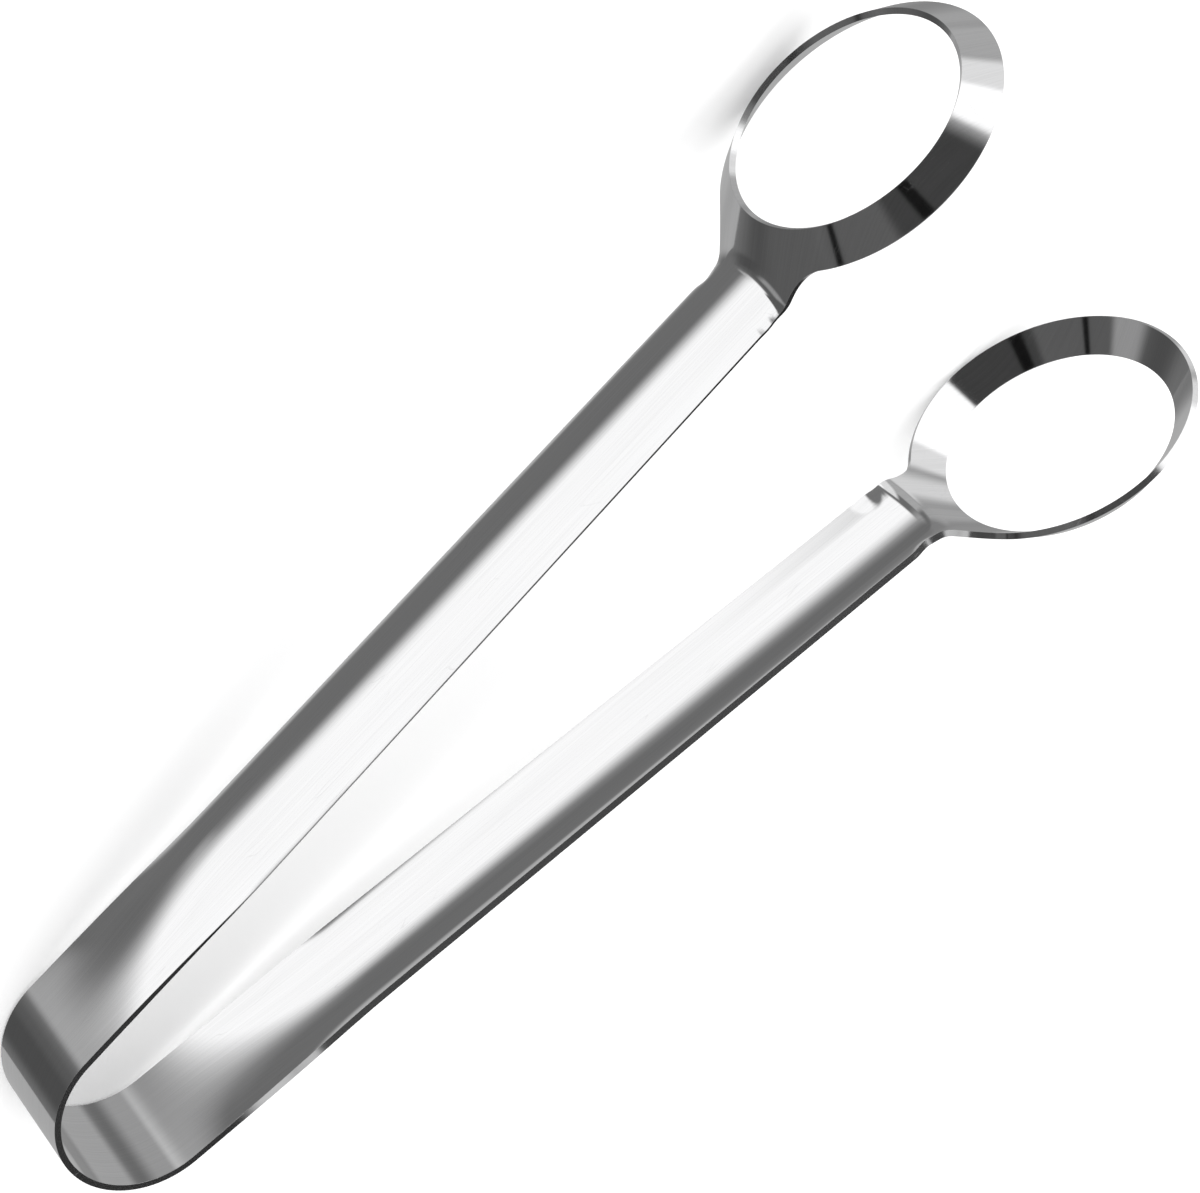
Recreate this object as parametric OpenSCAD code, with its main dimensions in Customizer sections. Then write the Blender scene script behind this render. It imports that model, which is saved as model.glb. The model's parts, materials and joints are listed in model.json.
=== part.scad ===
// Spring ice tongs: one strip of stainless steel, bent round a bow, its two arms rolled to a
// shallow channel, each arm ending in a neck and a dished ring that grips the ice.
// The strip is drawn as named regions. It flexes on a line in each side of the bow.

/* [Strip] */
// Thickness of the sheet
strip_t = 0.8; // [0.6:0.1:1.2]
// Width of the strip round the bow
strip_w = 17; // [15:0.5:20]
// Width of the strip where the arm meets the neck
strip_w_end = 14.4; // [12:0.2:15]

/* [Bow] */
// Radius of the bow, to the middle of the sheet
bow_r = 11.2; // [9:0.1:14]
// Angle of each arm away from the centre plane
splay = 5; // [4:0.1:8]

/* [Flexure] */
// Angle of each flex line round the bow, from its back
flex_at = 45; // [35:1:60]
// Radius of the rounded tongue on the flex line
tongue_r = 0.3; // [0.25:0.01:0.32]
// Clearance between the tongue and its socket
tongue_clear = 0.04; // [0.03:0.01:0.05]
// Gap between the two ends of strip at the flex line
flex_gap = 0.12; // [0.1:0.01:0.15]

/* [Arms] */
// Length of the root, where the flat strip becomes a channel
root_l = 30; // [20:1:40]
// Distance from the bow to the end of the channel
channel_end = 114; // [100:1:130]
// Radius of the channel's curve across the strip, to the middle of the sheet
channel_r = 12.5; // [11:0.5:16]
// How far the crown of the channel stands outside the line of the bow
crown_out = 2.4; // [2:0.1:3]

/* [Neck] */
// Width of the neck at its narrowest
neck_w = 13.6; // [12:0.2:14]
// Radius of the fillets that join the neck to the ring
neck_fillet = 4; // [3:0.5:5]
// Length of the bend that lifts the neck to the ring
neck_lift_l = 3; // [2.5:0.1:6]

/* [Rings] */
// Distance from the end of the bow to the ring's centre, along the arm
ring_at = 140.2; // [138:0.1:150]
// Radius of the hole
hole_r = 15.4; // [13:0.1:16]
// Radius of the rim
rim_r = 19.2; // [18.5:0.1:20.5]
// How far the rim stands outside the line of the arm
rim_out = 4.1; // [3.8:0.1:5]
// Depth of the dish, from the rim out to the edge of the hole
dish = 3.6; // [2.5:0.1:4]
// Lean of the ring away from the line of the arm
ring_lean = 1.2; // [0:0.1:3]

/* [Hidden] */
$fn = 96;
steel = "silver";

half_t = strip_t / 2;
root_rows = 20;                             // facets along the root
neck_rows = 22;                             // facets along the neck
across = 16;                                // facets across the strip
over = 1;                                   // how far a cutting shape runs past what it cuts
step = 0.01;                                // small step used to find the slope of a sheet

// The ring's wall is cut square to its axis, so it is deeper that way than the sheet is thick.
dish_angle = atan(dish / (rim_r - hole_r));
half_wall = half_t / cos(dish_angle);

// Point of the rim nearest the bow, along the arm and outwards
ring_angle = splay + ring_lean;
rim_near = [ring_at - rim_r * cos(ring_lean) - rim_out * sin(ring_lean),
            rim_out * cos(ring_lean) - rim_r * sin(ring_lean)];

// Each fillet touches the side of the neck and the rim.
fillet_w = neck_w / 2 + neck_fillet;
fillet_s = ring_at - sqrt(pow(rim_r + neck_fillet, 2) - pow(fillet_w, 2));
fillet_touch = [ring_at, 0] + [fillet_s - ring_at, fillet_w] * rim_r / (rim_r + neck_fillet);
neck_taper = 3;                             // length over which the channel's edges draw in
neck_reach = fillet_w;                      // half width of the neck's sheet before it is cut

// Lying on its side, the tongs rest on the back of the bow and on both rims.
function ring_x(out) = ring_at * cos(splay) - bow_r * sin(splay) - out * sin(ring_angle);
back_x = bow_r + half_t;
rest_run = ring_x(rim_out + half_wall) + back_x;
rest_tilt = asin(rim_r / norm([rest_run, strip_w / 2])) - atan(strip_w / 2 / rest_run);
front = ring_x(rim_out - half_wall) * cos(rest_tilt)
      + norm([rim_r * cos(ring_angle) * cos(rest_tilt), rim_r * sin(rest_tilt)]);
rear = back_x * cos(rest_tilt) + strip_w / 2 * sin(rest_tilt);
rest_z = back_x * sin(rest_tilt) + strip_w / 2 * cos(rest_tilt);

function smooth(t) = let(c = max(0, min(1, t))) c * c * (3 - 2 * c);
function half_w(s) = (strip_w + (strip_w_end - strip_w) * s / channel_end) / 2;
// Drop of a sheet of curvature k at distance w from its crown
function drop(w, k) = w * w * k / (1 + sqrt(1 - w * w * k * k));

// Middle of the sheet at distance s along the arm and q (-1 to 1) across it
function root_mid(s, q) =
    let(bend = smooth(s / root_l), w = q * half_w(s))
    [s, crown_out * bend - drop(w, bend / channel_r), w];
function neck_mid(s, q) =
    let(flat = smooth((s - channel_end) / (rim_near[0] - channel_end)), w = q * neck_reach,
        lift = max(0, rim_r + neck_lift_l - norm([ring_at - s, w])) / neck_lift_l)
    [s, crown_out + (rim_near[1] - crown_out) * lift * lift - drop(w, (1 - flat) / channel_r), w];
// Outward normal of such a sheet, from two short steps along it and across it
function normal_of(along, aside) = cross(aside, along) / norm(cross(aside, along));

// Sets a shape drawn in the tongs' own axes down on its side, origin under its middle.
module at_rest() {
    translate([(rear - front) / 2, 0, rest_z]) rotate([0, -rest_tilt, 0]) children();
}

// Draws a left-hand shape on the left (1) or mirrored to the right (-1).
module on_side(side) {
    at_rest() mirror([0, side < 0 ? 1 : 0, 0]) children();
}

// Arm axes: X along the arm from the end of the bow, Y outwards, Z across the strip
module along_arm() {
    rotate([0, 0, splay]) translate([0, bow_r, 0]) children();
}

// Ring axes: Z outwards through the middle of the hole
module ring_axes() {
    along_arm() translate([ring_at, 0, 0]) rotate([0, 0, ring_lean]) rotate([-90, 0, 0]) children();
}

// Arc of the strip round the bow, between two angles
module bow_arc(from, to) {
    rotate([0, 0, from]) rotate_extrude(angle = to - from)
        translate([bow_r - half_t, -strip_w / 2]) square([strip_t, strip_w]);
}

// Round bar on the left flex line
module flex_bar(r, length) {
    rotate([0, 0, 180 - flex_at]) translate([bow_r, 0, 0]) cylinder(r = r, h = length, center = true);
}

// Closed sheet of even thickness from rows of points on its outer and inner faces
module sheet(outer, inner) {
    rows = len(outer);
    cols = len(outer[0]);
    n = rows * cols;
    function at(i, j, face) = face * n + i * cols + j;
    quads = [
        for (i = [0:rows - 2]) for (j = [0:cols - 2])
            each [[at(i, j, 0), at(i + 1, j, 0), at(i + 1, j + 1, 0), at(i, j + 1, 0)],
                  [at(i, j, 1), at(i, j + 1, 1), at(i + 1, j + 1, 1), at(i + 1, j, 1)]],
        for (i = [0:rows - 2])
            each [[at(i, 0, 0), at(i, 0, 1), at(i + 1, 0, 1), at(i + 1, 0, 0)],
                  [at(i, cols - 1, 0), at(i + 1, cols - 1, 0),
                   at(i + 1, cols - 1, 1), at(i, cols - 1, 1)]]
    ];
    ends = [
        for (j = [0:cols - 2])
            each [[at(0, j, 0), at(0, j + 1, 0), at(0, j + 1, 1), at(0, j, 1)],
                  [at(rows - 1, j, 0), at(rows - 1, j, 1),
                   at(rows - 1, j + 1, 1), at(rows - 1, j + 1, 0)]]
    ];
    points = [for (row = outer) each row, for (row = inner) each row];
    polyhedron(points, [for (f = concat(quads, ends)) each [[f[0], f[1], f[2]], [f[0], f[2], f[3]]]]);
}

module bow_crown() {
    color(steel) at_rest() difference() {
        bow_arc(180 - flex_at, 180 + flex_at);
        for (side = [0, 1]) mirror([0, side, 0]) {
            flex_bar(tongue_r + tongue_clear, strip_w + over);
            rotate([0, 0, 180 - flex_at]) translate([bow_r, 0, 0])
                cube([strip_t + over, 2 * flex_gap, strip_w + over], center = true);
        }
    }
}

module bow_flank(side) {
    color(steel) on_side(side) {
        bow_arc(90 + splay, 180 - flex_at);
        flex_bar(tongue_r, strip_w);
    }
}

module arm_root(side) {
    function face(s, q, sign) =
        let(along = root_mid(min(root_l, s + step), q) - root_mid(max(0, s - step), q),
            aside = root_mid(s, q + step) - root_mid(s, q - step))
        root_mid(s, q) + sign * half_t * normal_of(along, aside);
    rows = [for (i = [0:root_rows]) root_l * i / root_rows];
    cols = [for (j = [0:across]) 2 * j / across - 1];
    color(steel) on_side(side) along_arm()
        sheet([for (s = rows) [for (q = cols) face(s, q, 1)]],
              [for (s = rows) [for (q = cols) face(s, q, -1)]]);
}

module arm_channel(side) {
    length = channel_end - root_l;
    color(steel) on_side(side) along_arm() intersection() {
        translate([root_l, crown_out - channel_r, 0]) rotate([0, 90, 0]) difference() {
            cylinder(r = channel_r + half_t, h = length);
            translate([0, 0, -over]) cylinder(r = channel_r - half_t, h = length + 2 * over);
        }
        translate([0, channel_r, 0]) rotate([90, 0, 0]) linear_extrude(height = 1.5 * channel_r)
            polygon([[root_l, -half_w(root_l)], [channel_end, -half_w(channel_end)],
                     [channel_end, half_w(channel_end)], [root_l, half_w(root_l)]]);
    }
}

module neck_outline() {
    start = half_w(channel_end);
    difference() {
        polygon([[channel_end, -start], [channel_end + neck_taper, -neck_w / 2],
                 [fillet_s, -neck_w / 2], [fillet_s, -fillet_touch[1]],
                 [fillet_touch[0], -fillet_touch[1]], [fillet_touch[0], fillet_touch[1]],
                 [fillet_s, fillet_touch[1]], [fillet_s, neck_w / 2],
                 [channel_end + neck_taper, neck_w / 2], [channel_end, start]]);
        for (edge = [-1, 1]) translate([fillet_s, edge * fillet_w]) circle(r = neck_fillet);
    }
}

module neck(side) {
    function face(s, q, sign) =
        let(along = neck_mid(s + step, q) - neck_mid(max(channel_end, s - step), q),
            aside = neck_mid(s, q + step) - neck_mid(s, q - step))
        neck_mid(s, q) + sign * half_t * normal_of(along, aside);
    rows = [for (i = [0:neck_rows]) channel_end + (fillet_touch[0] + over - channel_end) * i / neck_rows];
    cols = [for (j = [0:across]) 2 * j / across - 1];
    color(steel) on_side(side) difference() {
        along_arm() intersection() {
            sheet([for (s = rows) [for (q = cols) face(s, q, 1)]],
                  [for (s = rows) [for (q = cols) face(s, q, -1)]]);
            translate([0, channel_r, 0]) rotate([90, 0, 0])
                linear_extrude(height = 2 * channel_r) neck_outline();
        }
        ring_axes() cylinder(r = rim_r, h = 4 * rim_out, center = true);
    }
}

module ring(side) {
    color(steel) on_side(side) ring_axes() rotate_extrude()
        polygon([[hole_r, rim_out + dish - half_wall], [rim_r, rim_out - half_wall],
                 [rim_r, rim_out + half_wall], [hole_r, rim_out + dish + half_wall]]);
}

bow_crown();
bow_flank(1);  // left_bow_flank
arm_root(1);  // left_arm_root
arm_channel(1);  // left_arm_channel
neck(1);  // left_neck
ring(1);  // left_ring
bow_flank(-1);  // right_bow_flank
arm_root(-1);  // right_arm_root
arm_channel(-1);  // right_arm_channel
neck(-1);  // right_neck
ring(-1);  // right_ring
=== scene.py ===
# Spring ice tongs bent from one polished stainless strip.
# The strip is drawn as two half strips that meet at the back of the bow.
import json
import math
import bmesh
import bpy
from mathutils import Matrix, Vector


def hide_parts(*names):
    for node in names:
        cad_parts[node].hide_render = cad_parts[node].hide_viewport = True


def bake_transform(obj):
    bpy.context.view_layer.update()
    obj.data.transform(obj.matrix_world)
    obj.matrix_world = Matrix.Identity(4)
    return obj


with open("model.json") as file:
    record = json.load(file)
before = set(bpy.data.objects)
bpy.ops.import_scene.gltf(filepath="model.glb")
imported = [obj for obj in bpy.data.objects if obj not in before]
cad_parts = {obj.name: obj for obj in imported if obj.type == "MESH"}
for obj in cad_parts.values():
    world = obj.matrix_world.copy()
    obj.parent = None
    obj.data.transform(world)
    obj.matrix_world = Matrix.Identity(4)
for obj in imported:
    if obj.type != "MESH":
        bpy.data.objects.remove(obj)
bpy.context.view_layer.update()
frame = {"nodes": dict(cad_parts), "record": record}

mm = 0.001
mounts = {mount["name"]: mount for mount in frame["record"]["mounts"]}
saddle = mounts["bow_saddle"]


def tongsAxes():
    # The tongs' own axes: centre of the bow, X towards the rings, Z across the strip.
    across = Vector(saddle["axis"]).normalized()
    sideways = Vector((0, 1, 0))
    along = sideways.cross(across)
    axes = Matrix((along, sideways, across)).transposed().to_4x4()
    return Matrix.Translation(saddle["pos_m"]) @ axes


camera = {
    "place": (-46.39 * mm, 299.84 * mm, 353.32 * mm),
    "turn": (-27.999, -32.342, -34.864),    # degrees about X, Y and Z
    "lens": 113.33,
    "sensor": 36,
    "nearest": 10 * mm,
    "farthest": 10,
}


def makeCamera(values):
    data = bpy.data.cameras.new("camera")
    data.lens = values["lens"]
    data.sensor_width = values["sensor"]
    data.clip_start = values["nearest"]
    data.clip_end = values["farthest"]
    seen = bpy.data.objects.new("camera", data)
    seen.location = values["place"]
    seen.rotation_euler = [math.radians(angle) for angle in values["turn"]]
    bpy.context.scene.collection.objects.link(seen)
    bpy.context.scene.camera = seen


makeCamera(camera)
print("camera placed")

strip = {
    "thickness": 0.8 * mm,
    "bowWidth": saddle["dims"]["length_mm"] * mm,
    "endWidth": 14.4 * mm,        # where the arm meets the neck
    "splay": math.radians(5),     # each arm leaves the middle plane by this
    "rootLength": 30 * mm,        # the flat strip becomes a channel over this
    "channelEnd": 114 * mm,
    "channelRadius": 12.5 * mm,
    "crown": 2.4 * mm,            # the middle of the channel stands out by this
    "rowLength": 0.5 * mm,
    "seamRow": 0.02 * mm,         # a thin first row keeps the two halves' normals alike where they meet
    "columns": 36,
    "edgeColumn": 0.035,          # share of the half width in each narrow outer column
    "edgeRadius": 0.12 * mm,
    "mergeWithin": 0.005 * mm,
}
strip["bowRadius"] = saddle["dims"]["r_mm"] * mm + strip["thickness"] / 2
strip["quarterBow"] = strip["bowRadius"] * (math.pi / 2 - strip["splay"])

neck = {
    "waist": 7.0 * mm,            # half width at the narrowest
    "fillet": 10.3 * mm,
    "crease": 1.3 * mm,           # softness of the bend between the channel and the cone
    "rows": 30,
    "pocketDepth": 0.3 * mm,      # small pressed hollow at each edge of the neck
    "pocketRadius": 2.0 * mm,
    "pocketRun": 116.2 * mm,
    "joinRun": 112 * mm,          # from here on the channel may meet the cone
}

rings = {
    "at": 140.2 * mm,
    "lean": math.radians(1.2),
    "leanGrowth": 6 * mm,         # the lean sets in over this, from the end of the channel
    "rimMargin": 0.01 * mm,
    "bandCuts": 8,
    "edgeBand": 0.12,             # share of half the band in each narrow edge band
    "openSteps": 150,             # steps round the part of the ring that is clear of the neck
    "left": {"holeRadius": 15.45 * mm, "holeHeight": 7.55 * mm,
             "rimRadius": 19.0 * mm, "rimHeight": 4.0 * mm},
    "right": {"holeRadius": 15.5 * mm, "holeHeight": 7.8 * mm,
              "rimRadius": 18.95 * mm, "rimHeight": 4.2 * mm},
}


def smooth(t):
    # Eases from 0 to 1.
    t = min(max(t, 0), 1)
    return t * t * (3 - 2 * t)


def softMax(a, b, blend):
    # The greater of two heights, rounded where they cross.
    near = max(blend - abs(a - b), 0) / blend
    return max(a, b) + near * near * blend / 4


def spread(t, columns, edge):
    # Moves evenly spaced places from -1 to 1 so that the outermost column on each side is narrow.
    inner = 1 - 2 / columns
    if abs(t) <= inner + 1e-9:
        return t * (1 - edge) / inner
    return math.copysign(1 - edge * (1 - abs(t)) / (1 - inner), t)


def halfWidth(run):
    narrowed = min(max(run / strip["channelEnd"], 0), 1)
    return (strip["bowWidth"] + (strip["endWidth"] - strip["bowWidth"]) * narrowed) / 2


def channelLift(run, w):
    # How far the sheet's middle stands outside the line of the arm, on the channel and its root.
    grown = smooth(run / strip["rootLength"])
    curve = grown / strip["channelRadius"]
    drop = w * w * curve / (1 + math.sqrt(max(1 - w * w * curve * curve, 0.01)))
    return strip["crown"] * grown - drop


def coneLift(ring, run, w):
    # The same for the dished ring, a cone that carries on down the neck.
    slope = (ring["holeHeight"] - ring["rimHeight"]) / (ring["rimRadius"] - ring["holeRadius"])
    fromCentre = run - rings["at"]
    out = ring["rimHeight"] - slope * (math.hypot(fromCentre, w) - ring["rimRadius"])
    return out + fromCentre * math.sin(rings["lean"])


def sheetLift(ring, run, w):
    # The whole sheet: channel, pressed neck and ring.
    if math.hypot(run - rings["at"], w) < ring["rimRadius"] + rings["rimMargin"]:
        return coneLift(ring, run, w)
    lift = channelLift(run, w)
    if run > neck["joinRun"]:
        fromPocket = math.hypot(run - neck["pocketRun"], abs(w) - neck["waist"]) / neck["pocketRadius"]
        lift -= neck["pocketDepth"] * smooth(1 - fromPocket)
        lift = softMax(lift, coneLift(ring, run, w), neck["crease"])
    return lift


def bend(run, w, lift):
    # A place on the bent strip in the tongs' own axes, from its distance beyond the bow,
    # its place across the strip and its lift.
    angle = math.pi / 2 + strip["splay"]
    if run < 0:
        angle -= run / strip["bowRadius"]
        radius = strip["bowRadius"] + lift
        return Vector((radius * math.cos(angle), radius * math.sin(angle), w))
    out = Vector((math.cos(angle), math.sin(angle), 0))
    along = Vector((out.y, -out.x, 0))
    leaning = smooth((run - strip["channelEnd"]) / rings["leanGrowth"])
    leaned = run - lift * math.sin(rings["lean"]) * leaning
    return out * (strip["bowRadius"] + lift) + along * leaned + Vector((0, 0, w))


def neckTouch(ring):
    # Where the neck's fillets begin along the strip,
    # and the angle round the ring at which they reach its rim.
    reach = ring["rimRadius"] + neck["fillet"]
    touch = math.asin((neck["waist"] + neck["fillet"]) / reach)
    return rings["at"] - reach * math.cos(touch), touch


def neckPoint(ring, along, across):
    # A place on the flat neck, from the start of the fillets (along 0) to the ring's rim (along 1).
    start, touch = neckTouch(ring)
    turned = (math.pi / 2 - touch) * along
    side = Vector((start + neck["fillet"] * math.sin(turned),
                   neck["waist"] + neck["fillet"] * (1 - math.cos(turned))))
    centre = Vector((rings["at"], 0))
    rimHere, rimCorner = [centre + ring["rimRadius"] * Vector((-math.cos(angle), math.sin(angle)))
                          for angle in (touch * across, touch)]
    bulge = side - Vector((start, neck["waist"])).lerp(rimCorner, along)
    inside = Vector((start, neck["waist"] * across)).lerp(rimHere, along)
    return inside.x + bulge.x * abs(across), inside.y + bulge.y * across


def addBand(bm, ring):
    # The ring's flat band, spun in two sweeps so that its spokes meet the neck's columns.
    touch = neckTouch(ring)[1]
    centre = Vector((rings["at"], 0, 0))
    half = (ring["rimRadius"] - ring["holeRadius"]) / 2
    for start, sweep, steps in ((-touch, 2 * touch, strip["columns"]),
                                (touch, 2 * math.pi - 2 * touch, rings["openSteps"])):
        spoke = Vector((-math.cos(start), math.sin(start), 0))
        ends = [bm.verts.new(centre + spoke * ring[radius]) for radius in ("holeRadius", "rimRadius")]
        cut = bmesh.ops.subdivide_edges(bm, edges=[bm.edges.new(ends)], cuts=rings["bandCuts"])
        edges = [item for item in cut["geom"] if isinstance(item, bmesh.types.BMEdge)]
        verts = {vert for edge in edges for vert in edge.verts}
        bmesh.ops.spin(bm, geom=list(verts) + edges, cent=centre, axis=(0, 0, 1), dvec=(0, 0, 0),
                       angle=-sweep, steps=steps, use_merge=False, use_duplicate=False)
    for vert in bm.verts:
        offset = vert.co - centre
        angle = math.atan2(offset.y, -offset.x)
        if abs(angle) < touch:
            angle = touch * spread(angle / touch, strip["columns"], strip["edgeColumn"])
        place = (offset.length - ring["holeRadius"]) / half - 1
        place = spread(place, rings["bandCuts"] + 1, rings["edgeBand"])
        radius = ring["holeRadius"] + half * (1 + place)
        vert.co = centre + Vector((-math.cos(angle), math.sin(angle), 0)) * radius


def addStrip(bm, ring):
    # The flat strip and neck before forming, X along the strip and Y across it.
    neckStart = neckTouch(ring)[0]
    first = -strip["quarterBow"]
    stripRows = round((neckStart - first) / strip["rowLength"])
    rows = stripRows + neck["rows"]
    grid = bmesh.ops.create_grid(bm, x_segments=rows, y_segments=strip["columns"], size=1)
    for vert in grid["verts"]:
        row = round((vert.co.x + 1) / 2 * rows)
        across = spread(vert.co.y, strip["columns"], strip["edgeColumn"])
        if row > stripRows:
            run, w = neckPoint(ring, (row - stripRows) / neck["rows"], across)
        else:
            run = first + (neckStart - first) * row / stripRows
            if row == 1:
                run = first + strip["seamRow"]
            half = halfWidth(run)
            drawnIn = (run - strip["channelEnd"]) / (neckStart - strip["channelEnd"])
            w = across * (half + (neck["waist"] - half) * smooth(drawnIn))
        vert.co = (run, w, 0)


def markEdges(bm):
    # Cut edges of the sheet are to be rounded, and the seam at the back of the bow kept sharp.
    rounded = bm.edges.layers.float.new("bevel_weight_edge")
    for edge in bm.edges:
        if edge.is_boundary:
            seam = all(vert.co.x < -strip["quarterBow"] + strip["seamRow"] / 2 for vert in edge.verts)
            edge[rounded] = 0 if seam else 1
            edge.smooth = not seam


def markNearEdge(bm):
    # Stores how near each place is to a cut edge, from 0 in the middle of the sheet to 1 on the edge.
    nearEdge = bm.verts.layers.float.new("nearEdge")
    rim = [vert for edge in bm.edges if edge.is_boundary and edge.smooth for vert in edge.verts]
    for vert in rim:
        vert[nearEdge] = 1
        for edge in vert.link_edges:
            inner = edge.other_vert(vert)
            if not inner.is_boundary:
                inner[nearEdge] = 0.5


def makeHalf(name, side, ring):
    # One half strip with its ring: drawn flat, bent into place and then given its thickness.
    bm = bmesh.new()
    addBand(bm, ring)
    addStrip(bm, ring)
    bmesh.ops.remove_doubles(bm, verts=bm.verts, dist=strip["mergeWithin"])
    for face in bm.faces:
        face.smooth = True
    markEdges(bm)
    markNearEdge(bm)
    flat = bm.loops.layers.uv.new("flatSheet")
    for face in bm.faces:
        for loop in face.loops:
            loop[flat].uv = loop.vert.co.xy
    for vert in bm.verts:
        run, w = vert.co.xy
        vert.co = bend(run, w, sheetLift(ring, run, w))
    bmesh.ops.transform(bm, matrix=tongsAxes() @ Matrix.Diagonal((1, side, 1, 1)), verts=bm.verts)
    bmesh.ops.recalc_face_normals(bm, faces=bm.faces)
    mesh = bpy.data.meshes.new(name)
    bm.to_mesh(mesh)
    bm.free()
    piece = bpy.data.objects.new(name, mesh)
    bpy.context.scene.collection.objects.link(piece)
    solid = piece.modifiers.new("sheet", "SOLIDIFY")
    solid.thickness = strip["thickness"]
    solid.offset = 0
    solid.use_even_offset = True
    solid.use_quality_normals = True
    rounding = piece.modifiers.new("edges", "BEVEL")
    rounding.limit_method = "WEIGHT"
    rounding.width = strip["edgeRadius"]
    rounding.segments = 3
    rounding.harden_normals = True
    return piece


steelFinish = {
    "colour": (0.83, 0.83, 0.835, 1),
    "roughness": 0.05,
    "grainAlong": 45,             # streaks per metre along the strip
    "grainAcross": 5200,          # and across it
    "grainFine": 0.65,            # share of fine streaks, the rest being broader
    "grainSmudge": 0.4,           # share of soft smudges in the change of roughness
    "smudgeScale": 90,
    "grainRoughness": 0.04,
    "grainShade": 0.93,           # the darkest streaks, as a share of the colour
    "bumpStrength": 0.35,
    "bumpDepth": 0.0015 * mm,
    "scratchScale": 420,
    "scratchWidth": 0.006,
    "scratchDepth": 0.8,
    "scratchRoughness": 0.08,
    "scratchShade": 0.06,
    "edgeRoughness": 0.05,        # added along the cut edges
}


def makeGroup(name, inputs, outputs):
    group = bpy.data.node_groups.new(name, "ShaderNodeTree")
    for label, value in inputs:
        socket = group.interface.new_socket(label, in_out="INPUT", socket_type="NodeSocketFloat")
        socket.default_value = value
    for label in outputs:
        group.interface.new_socket(label, in_out="OUTPUT", socket_type="NodeSocketFloat")
    return group, group.nodes.new("NodeGroupInput"), group.nodes.new("NodeGroupOutput")


def maths(tree, operation, first, second=0.0, third=0.0):
    node = tree.nodes.new("ShaderNodeMath")
    node.operation = operation
    for socket, value in zip(node.inputs, (first, second, third)):
        if isinstance(value, (int, float)):
            socket.default_value = value
        else:
            tree.links.new(value, socket)
    return node.outputs[0]


def mapped(tree, value, low, high, toLow=0.0, toHigh=1.0):
    node = tree.nodes.new("ShaderNodeMapRange")
    node.interpolation_type = "SMOOTHSTEP"
    tree.links.new(value, node.inputs["Value"])
    for label, number in (("From Min", low), ("From Max", high), ("To Min", toLow), ("To Max", toHigh)):
        node.inputs[label].default_value = number
    return node.outputs["Result"]


def noise(tree, place, scale, detail, stretch=(1, 1, 1), turn=0.0):
    mapping = tree.nodes.new("ShaderNodeMapping")
    mapping.inputs["Scale"].default_value = stretch
    mapping.inputs["Rotation"].default_value = (0, turn, 0)
    tree.links.new(place, mapping.inputs["Vector"])
    texture = tree.nodes.new("ShaderNodeTexNoise")
    texture.inputs["Scale"].default_value = scale
    texture.inputs["Detail"].default_value = detail
    tree.links.new(mapping.outputs["Vector"], texture.inputs["Vector"])
    return texture.outputs[0]


def makeGrainGroup(values):
    # Fine rolled grain that runs along the strip, as a height, a change of roughness and a shade.
    outputs = ["Height", "Roughness", "Shade"]
    group, given, result = makeGroup("rolledGrain", [("Strength", 1.0)], outputs)
    along, across = values["grainAlong"], values["grainAcross"]
    flat = group.nodes.new("ShaderNodeUVMap")
    flat.uv_map = "flatSheet"
    sheet = flat.outputs["UV"]
    fine = noise(group, sheet, 1, 3, (along, across, 1))
    broad = noise(group, sheet, 1, 2, (along / 2, across / 7, 1))
    place = group.nodes.new("ShaderNodeTexCoord").outputs["Object"]
    smudge = noise(group, place, values["smudgeScale"], 2)
    fineShare, smudgeShare = values["grainFine"], values["grainSmudge"]
    fine = maths(group, "MULTIPLY", fine, fineShare)
    streaks = maths(group, "MULTIPLY_ADD", broad, 1 - fineShare, fine)
    strength = given.outputs["Strength"]
    group.links.new(maths(group, "MULTIPLY", streaks, strength), result.inputs["Height"])
    smudge = maths(group, "MULTIPLY", smudge, smudgeShare)
    change = maths(group, "MULTIPLY_ADD", streaks, 1 - smudgeShare, smudge)
    group.links.new(maths(group, "MULTIPLY", change, strength), result.inputs["Roughness"])
    shade = mapped(group, streaks, 0.3, 0.7, values["grainShade"], 1.0)
    group.links.new(shade, result.inputs["Shade"])
    return group


def makeScratchGroup(values):
    # Sparse hairline scratches in two directions, as a mask.
    scale = ("Scale", values["scratchScale"])
    group, given, result = makeGroup("hairScratches", [scale], ["Mask"])
    place = group.nodes.new("ShaderNodeTexCoord").outputs["Object"]
    lines = []
    for turn, stretch in ((0.3, (0.035, 1, 1)), (-0.55, (0.05, 1, 1))):
        texture = noise(group, place, 1, 1, stretch, turn)
        group.links.new(given.outputs["Scale"], texture.node.inputs["Scale"])
        line = maths(group, "ABSOLUTE", maths(group, "SUBTRACT", texture, 0.5))
        lines.append(mapped(group, line, 0.0, values["scratchWidth"], 1.0, 0.0))
    patches = mapped(group, noise(group, place, 160, 1), 0.56, 0.66)
    mask = maths(group, "MULTIPLY", maths(group, "MAXIMUM", *lines), patches)
    group.links.new(mask, result.inputs["Mask"])
    return group


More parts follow.
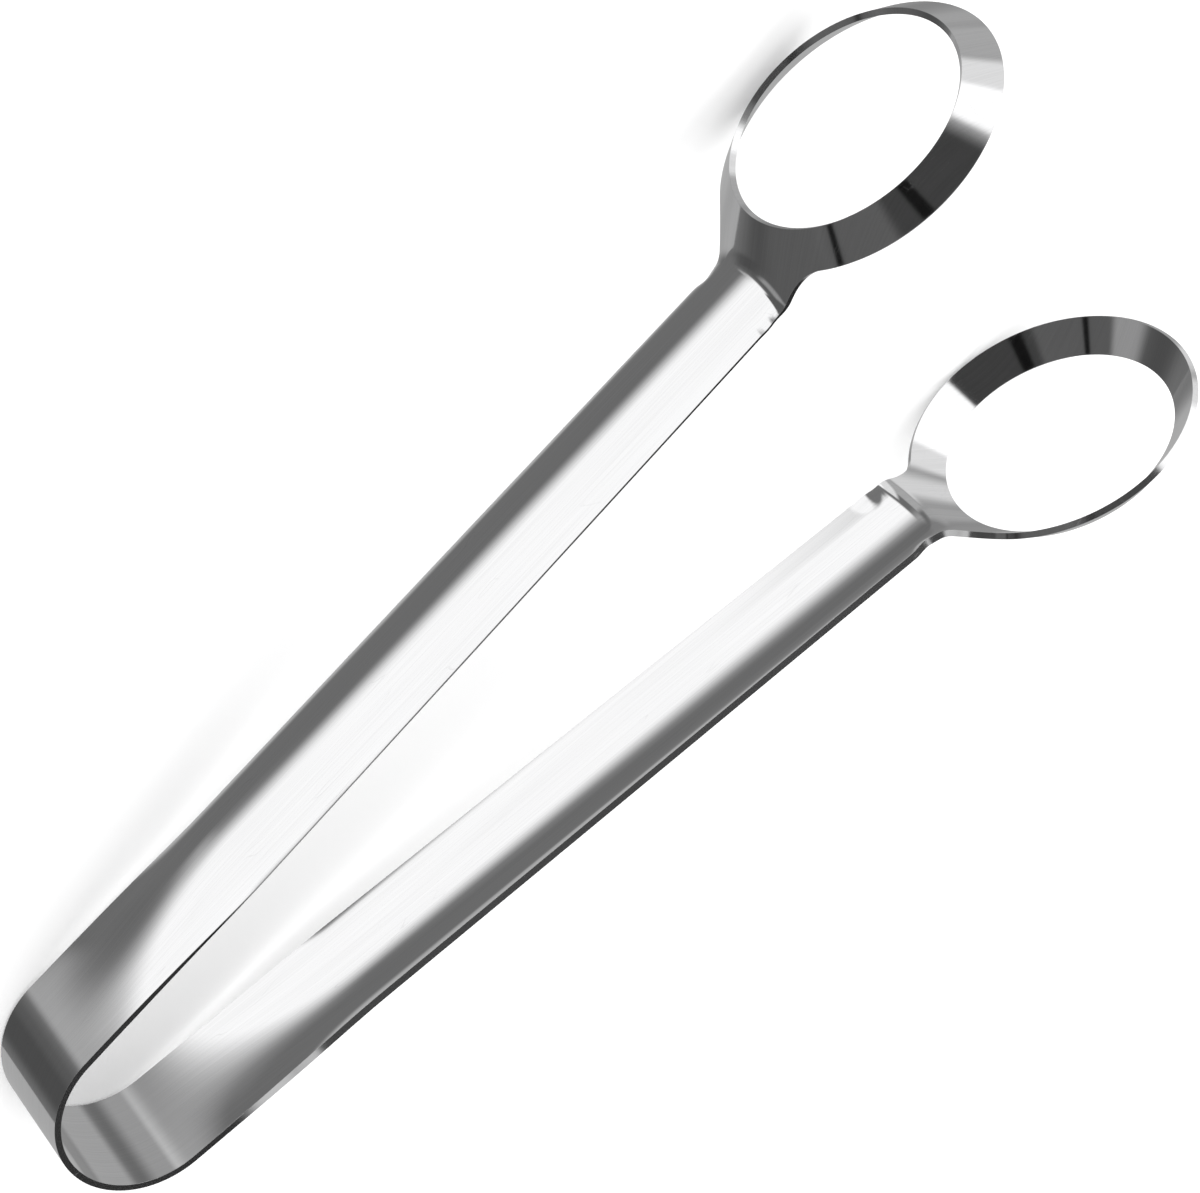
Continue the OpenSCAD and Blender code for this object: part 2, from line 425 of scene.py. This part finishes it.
def makeSteel(values):
    material = bpy.data.materials.new("steel")
    material.use_nodes = True
    tree = material.node_tree
    shader = tree.nodes["Principled BSDF"]
    shader.inputs["Metallic"].default_value = 1
    rolled = tree.nodes.new("ShaderNodeGroup")
    rolled.node_tree = makeGrainGroup(values)
    scratched = tree.nodes.new("ShaderNodeGroup")
    scratched.node_tree = makeScratchGroup(values)
    mask = scratched.outputs["Mask"]
    nearEdge = tree.nodes.new("ShaderNodeAttribute")
    nearEdge.attribute_name = "nearEdge"
    worn = mapped(tree, nearEdge.outputs["Fac"], 0.4, 1.0)

    rough = values["roughness"]
    for cause, amount in ((rolled.outputs["Roughness"], values["grainRoughness"]),
                          (worn, values["edgeRoughness"]),
                          (mask, values["scratchRoughness"])):
        rough = maths(tree, "MULTIPLY_ADD", cause, amount, rough)
    tree.links.new(rough, shader.inputs["Roughness"])

    darker = maths(tree, "MULTIPLY", mask, values["scratchShade"])
    colour = tree.nodes.new("ShaderNodeMix")
    colour.data_type = "RGBA"
    colour.inputs["A"].default_value = (0, 0, 0, 1)
    colour.inputs["B"].default_value = values["colour"]
    tree.links.new(maths(tree, "SUBTRACT", rolled.outputs["Shade"], darker), colour.inputs["Factor"])
    tree.links.new(colour.outputs["Result"], shader.inputs["Base Color"])

    deeper = maths(tree, "MULTIPLY", mask, values["scratchDepth"])
    bump = tree.nodes.new("ShaderNodeBump")
    bump.inputs["Strength"].default_value = values["bumpStrength"]
    bump.inputs["Distance"].default_value = values["bumpDepth"]
    tree.links.new(maths(tree, "SUBTRACT", rolled.outputs["Height"], deeper), bump.inputs["Height"])
    tree.links.new(bump.outputs["Normal"], shader.inputs["Normal"])
    return material


steel = makeSteel(steelFinish)
print("steel made")

# The tongs flex at a line in each side of the bow; each half strip runs from the back of the bow to its
# ring.
for name, side in (("left", 1), ("right", -1)):
    piece = makeHalf(name + "_half_strip", side, rings[name])
    piece.data.materials.append(steel)
    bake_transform(piece)
    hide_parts("bow_crown", *[node for node in frame["nodes"] if node.startswith(name)])
    piece.visible_glossy = False    # the steel mirrors the studio and not the other arm
    print(name, "half strip made")

studio = {
    "floorHalf": 3,
    "paper": (0.9, 0.9, 0.9, 1),
    "plainLight": 1.6,            # for everything but what the steel mirrors
    "between": 0.175,             # mirrored where there is no panel
    "compassTurn": 15,            # compass angles run from -165 to 195 degrees
}


def makeFloor(values):
    bm = bmesh.new()
    bmesh.ops.create_grid(bm, x_segments=1, y_segments=1, size=values["floorHalf"])
    mesh = bpy.data.meshes.new("floor")
    bm.to_mesh(mesh)
    bm.free()
    paper = bpy.data.materials.new("paper")
    paper.use_nodes = True
    paper.node_tree.nodes["Principled BSDF"].inputs["Base Color"].default_value = values["paper"]
    mesh.materials.append(paper)
    floor = bpy.data.objects.new("floor", mesh)
    floor.visible_glossy = False
    bpy.context.scene.collection.objects.link(floor)


makeFloor(studio)

# What the steel mirrors: soft panels and dark gaps round the tongs.
# Each lies over the ones before it, by compass angle and height in degrees.
surround = [
    {"round": (-165, 195), "up": (16, 90), "light": 0.62, "soft": 14},       # ceiling
    {"round": (-60, 12), "up": (-74, -38), "light": 0.25, "soft": 8},
    {"round": (-172, -62), "up": (-76, -30), "light": 0.45, "soft": 8},
    {"round": (-62, -40), "up": (-56, -40), "light": 0.30, "soft": 7},
    {"round": (-150, -40), "up": (-24, 62), "light": 0.02, "soft": 6},       # dark side behind the cut edges
    {"round": (123, 184), "up": (-68, 36), "light": 0.118, "soft": 9},       # dark side wall
    {"round": (140, 176), "up": (-62, -42), "light": 0.085, "soft": 8},
    {"round": (134, 149), "up": (-36, -5), "light": 0.34, "soft": 5},
    {"round": (-38, 8), "up": (-50, -36), "light": 0.42, "soft": 6},
    {"round": (-34, 1), "up": (-34, -12), "light": 0.78, "soft": 5},
    {"round": (2, 32), "up": (-37, -12), "light": 0.46, "soft": 4},
    {"round": (32, 72), "up": (-54, -36), "light": 0.38, "soft": 10},
    {"round": (-8, 50), "up": (-12, 5), "light": 0.88, "soft": 3},
    {"round": (-12, 49), "up": (4, 62), "light": 1.3, "soft": 2},            # bright end panel
    {"round": (101, 112), "up": (-58, -44), "light": 0.40, "soft": 6},
    {"round": (62, 116), "up": (-41.5, 30), "light": 1.17, "soft": 5, "fade": 13},    # main panel
    {"round": (50, 73), "up": (4, 34), "light": 0.2, "soft": 5},
    {"round": (109, 150), "up": (-14, 36), "light": 0.115, "soft": 3},
    {"round": (48, 132), "up": (30, 76), "light": 0.05, "soft": 2},          # dark gap above it
    {"round": (103, 112), "up": (34, 41), "light": 0.0, "soft": 1.5},
    {"round": (127, 156), "up": (1.5, 5), "light": 0.005, "soft": 1},
]


def makeBackground(tree, strength):
    node = tree.nodes.new("ShaderNodeBackground")
    node.inputs["Color"].default_value = (1, 1, 1, 1)
    if isinstance(strength, (int, float)):
        node.inputs["Strength"].default_value = strength
    else:
        tree.links.new(strength, node.inputs["Strength"])
    return node.outputs["Background"]


def makeWorld(values):
    world = bpy.data.worlds.new("studio")
    bpy.context.scene.world = world
    world.use_nodes = True
    tree = world.node_tree
    tree.nodes.remove(tree.nodes["Background"])
    turned = tree.nodes.new("ShaderNodeVectorRotate")
    turned.rotation_type = "Z_AXIS"
    turned.inputs["Angle"].default_value = math.radians(-values["compassTurn"])
    tree.links.new(tree.nodes.new("ShaderNodeTexCoord").outputs["Generated"], turned.inputs["Vector"])
    parts = tree.nodes.new("ShaderNodeSeparateXYZ")
    tree.links.new(turned.outputs["Vector"], parts.inputs["Vector"])
    x, y, z = parts.outputs
    compass = maths(tree, "DEGREES", maths(tree, "ARCTAN2", y, x))
    compass = maths(tree, "ADD", compass, values["compassTurn"])
    height = maths(tree, "DEGREES", maths(tree, "ARCSINE", z))
    light = values["between"]
    for zone in surround:
        soft = zone["soft"]
        fade = zone.get("fade", soft)    # the lower edge may be softer than the rest
        left, right = zone["round"]
        low, high = zone["up"]
        sides = [mapped(tree, compass, left - soft, left + soft),
                 mapped(tree, compass, right - soft, right + soft, 1.0, 0.0),
                 mapped(tree, height, low - fade, low + fade),
                 mapped(tree, height, high - soft, high + soft, 1.0, 0.0)]
        mask = sides[0]
        for side in sides[1:]:
            mask = maths(tree, "MULTIPLY", mask, side)
        kept = maths(tree, "MULTIPLY", light, maths(tree, "SUBTRACT", 1.0, mask))
        light = maths(tree, "MULTIPLY_ADD", mask, zone["light"], kept)
    choice = tree.nodes.new("ShaderNodeMixShader")
    mirrored = tree.nodes.new("ShaderNodeLightPath").outputs["Is Glossy Ray"]
    backgrounds = makeBackground(tree, values["plainLight"]), makeBackground(tree, light)
    for socket, source in zip(choice.inputs, (mirrored, *backgrounds)):
        tree.links.new(source, socket)
    tree.links.new(choice.outputs["Shader"], tree.nodes["World Output"].inputs["Surface"])


makeWorld(studio)
bpy.context.scene.view_settings.view_transform = "Standard"
print("studio set")
